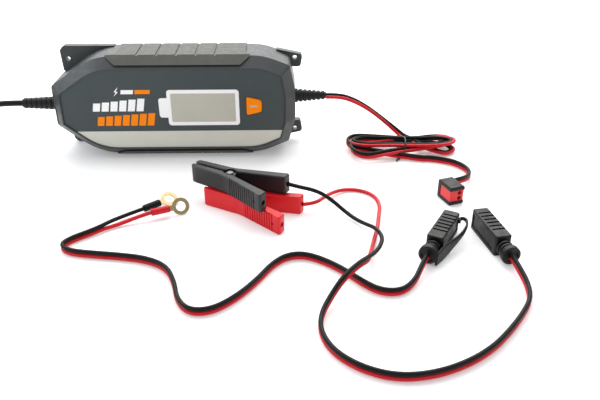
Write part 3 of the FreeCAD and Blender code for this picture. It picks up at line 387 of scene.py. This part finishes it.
# Each accessory lead: its route, its length, what it ends in, and each strand's own last stretch
# with the pieces at its end
ACCESSORY_LEADS = {
    "ring_lead": (RING_ROUTE, 0.46, "fitting", {
        "black": (RING_LEAD_BLACK_CORE, ["black_lug_sleeve", "ring_lugs"]),
        "red": (RING_LEAD_RED_CORE, ["red_lug_sleeve", "ring_lugs"])}),
    "clamp_lead": (CLAMP_ROUTE, 0.50, "connector", {
        "black": (CLAMP_LEAD_BLACK_CORE, ["black_clamp_front_arm", "black_clamp_back_arm"]),
        "red": (CLAMP_LEAD_RED_CORE, ["red_clamp_front_arm", "red_clamp_back_arm"])}),
}


def make_accessory_leads():
    """Two strands side by side from each connector, which part on their way to the lead's end."""
    for lead, (route, length, far_end, ends) in ACCESSORY_LEADS.items():
        for colour, side in (("black", BESIDE), ("red", -BESIDE)):
            core, pieces = ends[colour]
            nodes = ["%s_%s_core" % (lead, colour)] + ([lead + "_cord"] if side > 0 else [])
            strand, path = tube("%s_%s_strand" % (lead, colour), beside(route, side)[:-1] + [*core],
                                STRAND_D, colour + "_cable", nodes)
            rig.cord(strand, exit=route[0], length=length, diameter=STRAND_D, far_end=far_end,
                    path=path, stiffness="limp", lay="loose", with_pieces=pieces)


# ---------------------------------------------------------------- finishes

def shade(red, green, blue):
    """A colour given as ordinary screen values from 0 to 255, as the linear one a shader takes."""
    linear = [c / 255 / 12.92 if c <= 10 else ((c / 255 + 0.055) / 1.055) ** 2.4
              for c in (red, green, blue)]
    return (*linear, 1.0)


# A row per material slot: main colour, the colour it drifts to, lowest and highest roughness,
# metal, specular level, size of its grain and depth of its relief in millimetres, clear coat
FINISHES = {
    "housing_plastic": (shade(54, 58, 60), shade(47, 51, 53), 0.36, 0.5, 0, 0.45, 0.7, 0.030, 0),
    "grip_plastic": (shade(68, 69, 63), shade(60, 61, 56), 0.46, 0.62, 0, 0.45, 0.6, 0.045, 0),
    "seal_rubber": (shade(30, 31, 32), shade(22, 23, 24), 0.6, 0.8, 0, 0.25, 0.5, 0.02, 0),
    "panel_slate": (shade(65, 74, 75), shade(60, 69, 70), 0.46, 0.56, 0, 0.3, 0.4, 0.008, 0),
    "panel_silver": (shade(206, 208, 196), shade(198, 199, 188), 0.4, 0.5, 0.1, 0.4, 0.3, 0.006, 0),
    "display_white": (shade(250, 251, 251), shade(243, 244, 244), 0.3, 0.4, 0, 0.4, 0.5, 0.004, 0),
    "display_glass": (shade(190, 189, 176), shade(184, 183, 170), 0.2, 0.28, 0, 0.2, 2.0, 0.0, 0.1),
    "lcd_grey": (shade(176, 178, 166), shade(168, 171, 158), 0.3, 0.4, 0, 0.4, 0.4, 0.0, 0),
    "board_green": (shade(38, 84, 52), shade(28, 66, 42), 0.35, 0.5, 0, 0.5, 0.8, 0.02, 0.2),
    "black_plastic": (shade(20, 21, 22), shade(14, 15, 16), 0.34, 0.48, 0, 0.35, 0.5, 0.02, 0),
    "button_orange": (shade(255, 140, 4), shade(250, 132, 2), 0.4, 0.5, 0, 0.12, 0.4, 0.008, 0),
    "ferrite": (shade(62, 62, 64), shade(48, 48, 51), 0.55, 0.75, 0, 0.5, 0.4, 0.03, 0),
    "copper": (shade(196, 112, 66), shade(170, 92, 52), 0.22, 0.4, 1, 0.5, 0.5, 0.01, 0),
    "aluminium": (shade(190, 192, 195), shade(170, 172, 176), 0.3, 0.45, 1, 0.5, 0.3, 0.01, 0),
    "steel": (shade(142, 138, 130), shade(118, 114, 107), 0.3, 0.44, 1, 0.5, 0.4, 0.006, 0),
    "black_rubber": (shade(24, 24, 26), shade(17, 17, 19), 0.44, 0.6, 0, 0.3, 0.6, 0.03, 0),
    "black_cable": (shade(15, 13, 12), shade(10, 8, 8), 0.42, 0.56, 0, 0.18, 1.2, 0.02, 0),
    "red_cable": (shade(208, 18, 34), shade(186, 12, 26), 0.34, 0.48, 0, 0.3, 1.2, 0.02, 0),
    "connector_black": (shade(13, 14, 14), shade(9, 9, 9), 0.4, 0.56, 0, 0.3, 0.5, 0.035, 0),
    "connector_red": (shade(228, 38, 42), shade(208, 28, 32), 0.32, 0.44, 0, 0.4, 0.5, 0.02, 0),
    "clamp_black": (shade(34, 35, 37), shade(25, 26, 28), 0.32, 0.48, 0, 0.45, 0.6, 0.03, 0),
    "clamp_red": (shade(224, 20, 32), shade(206, 14, 24), 0.32, 0.46, 0, 0.35, 0.6, 0.03, 0),
    "copper_plate": (shade(200, 132, 92), shade(170, 104, 70), 0.2, 0.38, 1, 0.5, 0.5, 0.012, 0),
    "brass": (shade(186, 166, 124), shade(158, 140, 102), 0.3, 0.45, 1, 0.5, 0.6, 0.008, 0),
}


NOISE_LOW, NOISE_HIGH = 0.3, 0.7    # where nearly all of a noise's values lie
DRIFT_SIZE, RUB_SIZE = 18.0, 5.0    # millimetres: patches of colour and of gloss
RELIEF_STRENGTH = 0.6
MIX_FIRST, MIX_SECOND, MIX_RESULT = 6, 7, 2     # the mix node's sockets for colours


def mapped(nodes, links, value, low, high):
    """A noise's value spread over a range."""
    spread = nodes.new("ShaderNodeMapRange")
    spread.inputs["From Min"].default_value = NOISE_LOW
    spread.inputs["From Max"].default_value = NOISE_HIGH
    spread.inputs["To Min"].default_value, spread.inputs["To Max"].default_value = low, high
    links.new(value, spread.inputs["Value"])
    return spread.outputs["Result"]


def make_finish(name, colour, drift, rough_low, rough_high, metal, specular, grain, relief,
                coat):
    """A moulded or rolled surface: a fine relief, uneven gloss and a slow drift of its colour."""
    material = bpy.data.materials.new(name)
    material.use_nodes = True
    nodes, links = material.node_tree.nodes, material.node_tree.links
    shader = nodes["Principled BSDF"]
    shader.inputs["Metallic"].default_value = metal
    shader.inputs["Specular IOR Level"].default_value = specular
    shader.inputs["Coat Weight"].default_value = coat
    place = nodes.new("ShaderNodeTexCoord").outputs["Object"]
    noises = {}
    for part, size, detail in (("grain", grain, 3.0), ("drift", DRIFT_SIZE, 4.0),
                               ("rub", RUB_SIZE, 6.0)):
        noise = nodes.new("ShaderNodeTexNoise")
        noise.inputs["Scale"].default_value = 1 / (size * MM)
        noise.inputs["Detail"].default_value = detail
        links.new(place, noise.inputs["Vector"])
        noises[part] = noise.outputs["Fac"]
    mix = nodes.new("ShaderNodeMix")
    mix.data_type = "RGBA"
    mix.inputs[MIX_FIRST].default_value, mix.inputs[MIX_SECOND].default_value = colour, drift
    both = nodes.new("ShaderNodeMath")
    both.operation = "MULTIPLY_ADD"
    both.inputs[1].default_value = 0.5
    links.new(noises["grain"], both.inputs[0])
    half = nodes.new("ShaderNodeMath")
    half.operation = "MULTIPLY"
    half.inputs[1].default_value = 0.5
    links.new(noises["drift"], half.inputs[0])
    links.new(half.outputs[0], both.inputs[2])
    links.new(mapped(nodes, links, both.outputs[0], 0.0, 1.0), mix.inputs[0])
    links.new(mix.outputs[MIX_RESULT], shader.inputs["Base Color"])
    rough = mapped(nodes, links, noises["rub"], rough_low, rough_high)
    links.new(rough, shader.inputs["Roughness"])
    if relief:
        bump = nodes.new("ShaderNodeBump")
        bump.inputs["Strength"].default_value = RELIEF_STRENGTH
        bump.inputs["Distance"].default_value = relief * MM
        links.new(noises["grain"], bump.inputs["Height"])
        links.new(bump.outputs["Normal"], shader.inputs["Normal"])
    return material


finishes = {name: make_finish(name, *row) for name, row in FINISHES.items()}


def give(piece, finish):
    """The piece takes a finish, and the record's material slot of the same name."""
    piece.data.materials.clear()
    piece.data.materials.append(finishes[finish])
    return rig.slot(piece, finish)


def finish_nodes():
    """Every CAD node takes the finish of its slot."""
    for node in frame["nodes"].values():
        slots = node.data.materials
        for i, old in enumerate(slots):
            slots[i] = finishes[old.name.split(".")[0]]


# ---------------------------------------------------------------- moulded pieces

WELD = 0.004 * MM                   # nearer corners are one
FLAT_ANGLE, SHARP_ANGLE = math.radians(0.6), math.radians(24)


def meshed(name, work):
    """A new piece from a bmesh, which is freed."""
    mesh = bpy.data.meshes.new(name)
    work.to_mesh(mesh)
    work.free()
    return link(name, mesh)


def softened(node, width):
    """A copy of a CAD node with rounded edges, in the node's place."""
    source = frame["nodes"][node]
    slot = source.data.materials[0].name.split(".")[0]
    work = bmesh.new()
    work.from_mesh(source.data)
    bmesh.ops.remove_doubles(work, verts=work.verts, dist=WELD)
    bmesh.ops.dissolve_limit(work, verts=work.verts, edges=work.edges, angle_limit=FLAT_ANGLE)
    for face in work.faces:
        face.smooth = True
    piece = meshed(node + "_soft", work)
    bevel = piece.modifiers.new("rounded", "BEVEL")
    bevel.width, bevel.segments = width * MM, 3
    bevel.limit_method, bevel.angle_limit = "ANGLE", SHARP_ANGLE
    bevel.use_clamp_overlap, bevel.miter_outer = True, "MITER_ARC"
    even = piece.modifiers.new("even", "WEIGHTED_NORMAL")
    even.keep_sharp, even.weight = True, 60
    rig.ride(piece, source["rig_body"])
    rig.replaces(piece, node)
    return give(piece, slot)


# Nodes shown with rounded edges, and the rounding's width in millimetres
SOFTENED = {
    "front_shell": 0.9, "rear_shell": 0.7, "upper_grip": 0.35, "lower_grip": 0.35,
    "display_frame": 0.3, "mode_button": 0.4, "mains_plug": 0.8, "plug_pins": 0.25,
    "mains_strain_relief": 0.25, "output_strain_relief": 0.25,
    "black_clamp_front_arm": 1.2, "black_clamp_back_arm": 1.2, "red_clamp_front_arm": 1.2,
    "red_clamp_back_arm": 1.2, "black_clamp_front_jaw": 0.12, "red_clamp_front_jaw": 0.12,
    "clamp_back_jaws": 0.12, "clamp_pins": 0.2, "clamp_lead_connector": 0.5,
    "ring_lead_connector": 0.5, "output_connector_shell": 0.6,
    "output_connector_core": 0.3, "connector_contacts": 0.1, "ring_lugs": 0.15,
    "black_lug_sleeve": 0.3, "red_lug_sleeve": 0.3, "coil_tie": 0.3,
}


PANEL_FACE_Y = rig.box("front_panel")[0].y
INK = 0.08 * MM                     # how far a printed mark stands off its surface


def printed(name, outlines, face_y, finish, body="charger"):
    """Flat marks on a face that looks towards -Y, each a closed outline of (x, z) in metres."""
    work = bmesh.new()
    for outline in outlines:
        front = [work.verts.new((x, face_y - INK, z)) for x, z in outline]
        back = [work.verts.new((x, face_y + INK, z)) for x, z in outline]
        work.faces.new(front)
        work.faces.new(reversed(back))
        for i in range(len(outline)):
            j = (i + 1) % len(outline)
            work.faces.new((front[j], front[i], back[i], back[j]))
    bmesh.ops.recalc_face_normals(work, faces=work.faces)
    piece = meshed(name, work)
    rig.ride(piece, body)
    return give(piece, finish)


# The panel's marks, in millimetres. A row of bars: its left end and foot, pitch, width, height of
# the first and of the last bar, number of bars
ORANGE_BARS = (-74.5, 34.0, 7.9, 6.3, 9.0, 12.5, 7)
WHITE_BARS = (-77.0, 48.5, 8.2, 6.6, 8.0, 12.5, 6)
# A line over the rows: the foot and height of its bars, and each one's left end and width
LINE_FOOT, LINE_TALL = 65.5, 4.0
WHITE_LINE, ORANGE_LINE = (-49.0, 11.5), (-36.0, 14.0)
FLASH_AT = (-55.5, 63.2)
FLASH = ((0.0, 0.0), (4.4, 4.4), (2.4, 4.8), (4.8, 9.2), (0.4, 4.4), (2.4, 4.0))
BAR_LEAN = 0.18                     # how far a bar leans to the right for its height
BUTTON_MARK_X, BUTTON_MARK_WIDE, BUTTON_MARK_TALL = 3.0, 7.6, 1.6


def slanted_bar(x, z, wide, tall, lean=BAR_LEAN):
    """A bar's outline in metres, from its foot and size in millimetres."""
    shift, top = tall * lean, z + tall
    outline = ((x, z), (x + wide, z), (x + wide + shift, top), (x + shift, top))
    return [(a * MM, b * MM) for a, b in outline]


def charge_bars(left, foot, pitch, wide, first, last, bars):
    """A row of slanted bars that grow from the first to the last."""
    return [slanted_bar(left + pitch * k, foot, wide, first + (last - first) * k / (bars - 1))
            for k in range(bars)]


def make_marks():
    """Plain charge bars and a lightning flash where such a charger has its printing."""
    orange = charge_bars(*ORANGE_BARS)
    orange.append(slanted_bar(ORANGE_LINE[0], LINE_FOOT, ORANGE_LINE[1], LINE_TALL))
    printed("orange_bars", orange, PANEL_FACE_Y, "button_orange")
    white = charge_bars(*WHITE_BARS)
    white.append(slanted_bar(WHITE_LINE[0], LINE_FOOT, WHITE_LINE[1], LINE_TALL))
    white.append([((FLASH_AT[0] + x) * MM, (FLASH_AT[1] + z) * MM) for x, z in FLASH])
    printed("white_bars", white, PANEL_FACE_Y, "display_white")
    low_corner, high_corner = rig.box("mode_button")
    middle_z = (low_corner.z + high_corner.z) / 2
    band = slanted_bar(low_corner.x / MM + BUTTON_MARK_X, middle_z / MM - BUTTON_MARK_TALL / 2,
                       BUTTON_MARK_WIDE, BUTTON_MARK_TALL, lean=0.0)
    printed("button_mark", [band], low_corner.y, "display_glass", "mode_button")


# The hank's tie, in millimetres: its wire, how much nearer than the CAD tie it lies, its lean, its
# lowest height, and its two twisted ends
TIE_D, TIE_INSET_Y, TIE_INSET_Z, TIE_LEAN, TIE_FOOT = 1.5, 5.0, 0.6, 3.0, 0.9
TIE_STEPS, TIE_OPENING = 16, 0.35   # points round the lead, and where the loop opens, in radians
TWIST_AT = (-2.0, -0.5, 1.6)        # from the loop's front end
TWIST_STEPS, TWIST_RUN, TWIST_R = 9, (-0.7, -0.9, 0.0), 0.8


def make_twist_tie():
    """The hank's wire tie: once round the lead, its two ends twisted together at the front."""
    low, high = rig.box("hank_tie")
    middle = (low + high) / 2
    half_y = (high.y - low.y) / 2 - TIE_INSET_Y * MM
    half_z = (high.z - low.z) / 2 - TIE_INSET_Z * MM
    points = []
    for k in range(TIE_STEPS + 1):
        a = math.tau * k / TIE_STEPS - math.pi / 2 - TIE_OPENING
        points.append(Vector((middle.x + TIE_LEAN * MM * math.sin(a),
                              middle.y + half_y * math.cos(a),
                              TIE_FOOT * MM + half_z * (1 + math.sin(a)))))
    start = Vector((middle.x, middle.y - half_y, 0)) + Vector(TWIST_AT) * MM
    for k in range(TWIST_STEPS):
        a = math.pi * k / 2
        spoke = Vector((math.cos(a), 0, math.sin(a))) * TWIST_R * MM
        points.append(start + Vector(TWIST_RUN) * MM * k + spoke)
    tube("twist_tie", points, TIE_D * MM, "black_plastic", ["hank_tie"], along=6, round_it=3)


# The ring connector's stopper strap, beside its box from gland to hook, in millimetres: along the
# box, out from its middle, height of the strap's middle and half its width
STRAP_ORIGIN, STRAP_YAW = Vector((0.2149, -0.1974, 0)), math.radians(60.7)
STRAP = ((-14, -6.8, 6.0, 4.6), (-7, -7.8, 6.4, 5.8), (3, -9.4, 6.8, 6.0), (11, -11.3, 7.6, 4.5),
         (19, -13.4, 9.2, 3.0), (27, -15.0, 11.2, 2.2), (34, -15.0, 13.0, 1.8),
         (38.6, -13.2, 14.2, 1.6), (40, -10.4, 14.6, 1.5), (38.4, -8.2, 14.2, 1.6),
         (35.6, -8.8, 13.4, 1.5))
STRAP_HALF_THICK = 0.95 * MM
STRAP_STEPS, STRAP_SIDES = 5, 12
STRAP_SQUARE = 0.5                  # below 1, its section is squarer than an ellipse


def smooth_line(rows, steps):
    """Points on a smooth curve that goes through every row."""
    rows = [rows[0] * 2 - rows[1], *rows, rows[-1] * 2 - rows[-2]]
    line = []
    for a, b, c, d in zip(rows, rows[1:], rows[2:], rows[3:]):
        for k in range(steps):
            t = k / steps
            line.append((b * 2 + (c - a) * t + (a * 2 - b * 5 + c * 4 - d) * t ** 2
                         + (b * 3 - a - c * 3 + d) * t ** 3) / 2)
    return line + [rows[-2]]


def make_stopper():
    """The strap: a band on edge, broad beside the gland, that narrows to a hook."""
    line = smooth_line([Vector(row) * MM for row in STRAP], STRAP_STEPS)
    turn = Matrix.Translation(STRAP_ORIGIN) @ Matrix.Rotation(STRAP_YAW, 4, "Z")
    work = bmesh.new()
    rings = []
    for i, p in enumerate(line):
        run = line[min(i + 1, len(line) - 1)] - line[max(i - 1, 0)]
        out = Vector((-run.y, run.x, 0)).normalized() * STRAP_HALF_THICK
        ring = []
        for k in range(STRAP_SIDES):
            a = math.tau * (k + 0.5) / STRAP_SIDES
            across, up = (math.copysign(abs(v) ** STRAP_SQUARE, v)
                          for v in (math.cos(a), math.sin(a)))
            ring.append(work.verts.new(turn @ (p.xyz + out * across + UP * p.w * up)))
        rings.append(ring)
    for a, b in zip(rings, rings[1:]):
        for k in range(STRAP_SIDES):
            j = (k + 1) % STRAP_SIDES
            work.faces.new((a[k], a[j], b[j], b[k]))
    work.faces.new(reversed(rings[0]))
    work.faces.new(rings[-1])
    bmesh.ops.recalc_face_normals(work, faces=work.faces)
    strap = meshed("stopper_strap", work)
    strap.data.shade_smooth()
    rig.ride(strap, "charger")
    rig.replaces(strap, "connector_stopper")
    give(strap, "connector_black")


# ---------------------------------------------------------------- stage and lights

FLOOR_X, FLOOR_Y = (-6, 6), (-4, 8)
FLOOR_WHITE, FLOOR_ROUGH, FLOOR_GLOW = 0.86, 0.8, 0.2
WORLD_COLOUR, WORLD_STRENGTH = (0.97, 0.98, 1.0, 1), 0.72
# Each soft light: where it is, what it faces, its size in metres, watts and colour
LIGHTS = {
    "overhead": ((0.1, 0.95, 1.7), (0.05, -0.1, 0), (2.4, 1.8), 44, (1.0, 0.99, 0.97)),
    "behind": ((0.1, 2.0, 1.1), (0.05, 0, 0), (3.6, 1.4), 34, (1.0, 0.985, 0.96)),
    "left": ((-1.1, 0.15, 0.95), (-0.1, 0, 0.05), (0.6, 0.6), 5, (0.86, 0.93, 1.0)),
}


def make_stage():
    mesh = bpy.data.meshes.new("floor")
    corners = [(x, y, 0) for y, row in zip(FLOOR_Y, (FLOOR_X, reversed(FLOOR_X))) for x in row]
    mesh.from_pydata(corners, [], [(0, 1, 2, 3)])
    floor = link("floor", mesh)
    paper = bpy.data.materials.new("white_paper")
    paper.use_nodes = True
    shader = paper.node_tree.nodes["Principled BSDF"]
    shader.inputs["Base Color"].default_value = (FLOOR_WHITE, FLOOR_WHITE, FLOOR_WHITE, 1)
    shader.inputs["Roughness"].default_value = FLOOR_ROUGH
    shader.inputs["Emission Color"].default_value = (1, 1, 1, 1)
    shader.inputs["Emission Strength"].default_value = FLOOR_GLOW
    floor.data.materials.append(paper)
    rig.stage(floor)


def make_light(name, at, aim, size, watts, colour):
    light = bpy.data.lights.new(name, "AREA")
    light.shape, light.size, light.size_y = "RECTANGLE", *size
    light.energy, light.color = watts, colour
    lamp = link(name, light)
    lamp.location = at
    lamp.rotation_euler = (Vector(aim) - Vector(at)).to_track_quat("-Z", "Y").to_euler()


def make_lights():
    """A wide soft light overhead, one low behind, a little from the left and all round."""
    bpy.context.scene.view_settings.view_transform = "Standard"
    world = bpy.data.worlds.new("studio")
    bpy.context.scene.world = world
    world.use_nodes = True
    background = world.node_tree.nodes["Background"]
    background.inputs["Color"].default_value = WORLD_COLOUR
    background.inputs["Strength"].default_value = WORLD_STRENGTH
    for name, row in LIGHTS.items():
        make_light(name, *row)


# ---------------------------------------------------------------- the object

make_camera()
make_mains()
make_output()
make_accessory_leads()
finish_nodes()
for node, width in SOFTENED.items():
    softened(node, width)
make_marks()
make_twist_tie()
make_stopper()
make_stage()
make_lights()

bpy.context.view_layer.update()
low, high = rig.bounds()
with open("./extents.json", "w") as f:
    json.dump({"cad": [list(cad_low), list(cad_high)], "visual": [list(low), list(high)]}, f)
